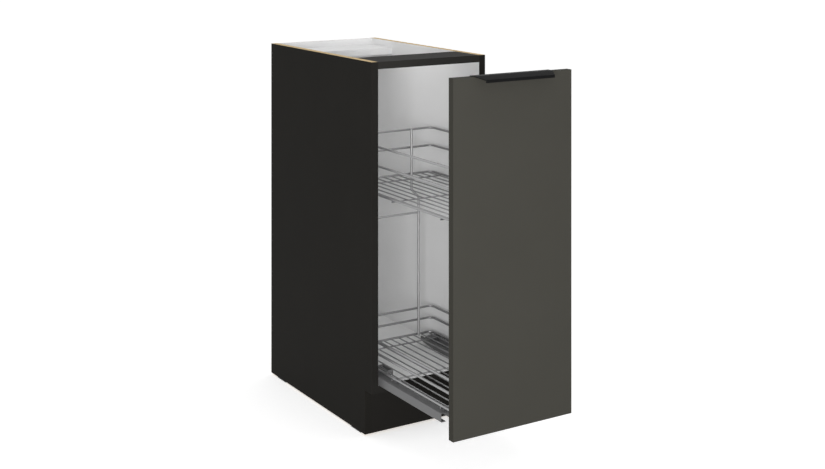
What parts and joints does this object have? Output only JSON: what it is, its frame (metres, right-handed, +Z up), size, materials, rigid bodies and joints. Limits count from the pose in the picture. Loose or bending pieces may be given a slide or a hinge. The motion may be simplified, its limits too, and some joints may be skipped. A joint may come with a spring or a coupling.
{
  "type": "pull-out base cabinet",
  "caption": "Narrow floor-standing kitchen base cabinet whose full-height front pulls out on roller runners and carries chromed wire baskets.",
  "frame": {"origin": "on the floor, midway across the width and midway between the pulled-out handle and the back edges", "axes": "+Z up, +X to the right seen from the front, +Y from the front to the back"},
  "size_m": [0.3, 0.843, 0.824],
  "materials": {
    "graphite_board": "matt melamine-faced chipboard, dark outside and pale inside, raw top edges",
    "white_board": "pale matt melamine-faced board",
    "graphite_edge": "matt edge band",
    "door_lacquer": "matt faced board",
    "black_handle": "matt black coating",
    "black_plastic": "matt moulded plastic",
    "grey_plastic": "matt moulded plastic",
    "clear_rubber": "clear soft dot",
    "beech": "fluted beech",
    "zinc_steel": "bright zinc plate",
    "grey_rail": "silver-grey powder coat",
    "dark_bracket": "dark grey powder coat",
    "white_nylon": "moulded nylon",
    "chrome_wire": "chromed wire"
  },
  "bodies": {
    "carcass": {"side_panel_left": "graphite_board", "side_panel_right": "graphite_board", "front_stretcher": "graphite_board", "plinth_board": "graphite_board", "bottom_panel": "white_board", "rear_stretcher": "white_board", "back_panel": "white_board", "edge_band_left": "graphite_edge", "edge_band_right": "graphite_edge", "edge_band_bottom": "graphite_edge", "edge_band_stretcher": "graphite_edge", "floor_glides": "black_plastic", "dowels": "beech", "cam_locks": "zinc_steel", "cam_bolts": "zinc_steel", "runner_screws": "zinc_steel", "roller_axles": "zinc_steel", "runner_bracket_left": "dark_bracket", "runner_bracket_right": "dark_bracket"},
    "pull_out": {"door": "door_lacquer", "door_bumpers": "clear_rubber", "handle": "black_handle", "handle_screws": "zinc_steel", "moving_rail_left": "grey_rail", "moving_rail_right": "grey_rail", "rail_stop_left": "black_plastic", "rail_stop_right": "black_plastic", "door_angle_left": "grey_rail", "door_angle_right": "grey_rail", "angle_rivets": "zinc_steel", "angle_screws": "zinc_steel", "strap_screws": "zinc_steel", "basket_clips": "grey_plastic", "basket_holders": "grey_plastic", "door_strap_upper_left": "zinc_steel", "door_strap_upper_right": "zinc_steel", "door_strap_lower_left": "zinc_steel", "door_strap_lower_right": "zinc_steel", "lower_base_frame": "chrome_wire", "lower_mid_rail": "chrome_wire", "lower_top_rail": "chrome_wire", "lower_cross_wires": "chrome_wire", "lower_floor_wires": "chrome_wire", "upper_base_frame": "chrome_wire", "upper_mid_rail": "chrome_wire", "upper_top_rail": "chrome_wire", "upper_cross_wires": "chrome_wire", "upper_floor_wires": "chrome_wire", "hanger_front_left": "chrome_wire", "hanger_front_right": "chrome_wire", "hanger_rear_left": "chrome_wire", "hanger_rear_right": "chrome_wire", "hanger_crossbar_front": "chrome_wire", "hanger_crossbar_rear": "chrome_wire"},
    "roller_left_front": {"roller_left_front": "white_nylon"},
    "roller_left_rear": {"roller_left_rear": "white_nylon"},
    "roller_right_front": {"roller_right_front": "white_nylon"},
    "roller_right_rear": {"roller_right_rear": "white_nylon"}
  },
  "joints": [
    {"name": "pull_out_slide", "type": "slide", "parent": "carcass", "child": "pull_out", "axis": [0, -1, 0], "range_m": [-0.3, 0]},
    {"name": "roller_left_front_spin", "type": "hinge", "parent": "carcass", "child": "roller_left_front", "pos_m": [-0.12455, -0.0165, 0.12685], "axis": [1, 0, 0], "range_deg": [-2278, 0]},
    {"name": "roller_left_rear_spin", "type": "hinge", "parent": "carcass", "child": "roller_left_rear", "pos_m": [-0.12455, 0.0815, 0.12685], "axis": [1, 0, 0], "range_deg": [-2278, 0]},
    {"name": "roller_right_front_spin", "type": "hinge", "parent": "carcass", "child": "roller_right_front", "pos_m": [0.12455, -0.0165, 0.12685], "axis": [1, 0, 0], "range_deg": [-2278, 0]},
    {"name": "roller_right_rear_spin", "type": "hinge", "parent": "carcass", "child": "roller_right_rear", "pos_m": [0.12455, 0.0815, 0.12685], "axis": [1, 0, 0], "range_deg": [-2278, 0]}
  ],
  "couplings": [
    {"joint": "roller_left_front_spin", "follows": "pull_out_slide", "rad_per_m": 132.45},
    {"joint": "roller_left_rear_spin", "follows": "pull_out_slide", "rad_per_m": 132.45},
    {"joint": "roller_right_front_spin", "follows": "pull_out_slide", "rad_per_m": 132.45},
    {"joint": "roller_right_rear_spin", "follows": "pull_out_slide", "rad_per_m": 132.45}
  ]
}
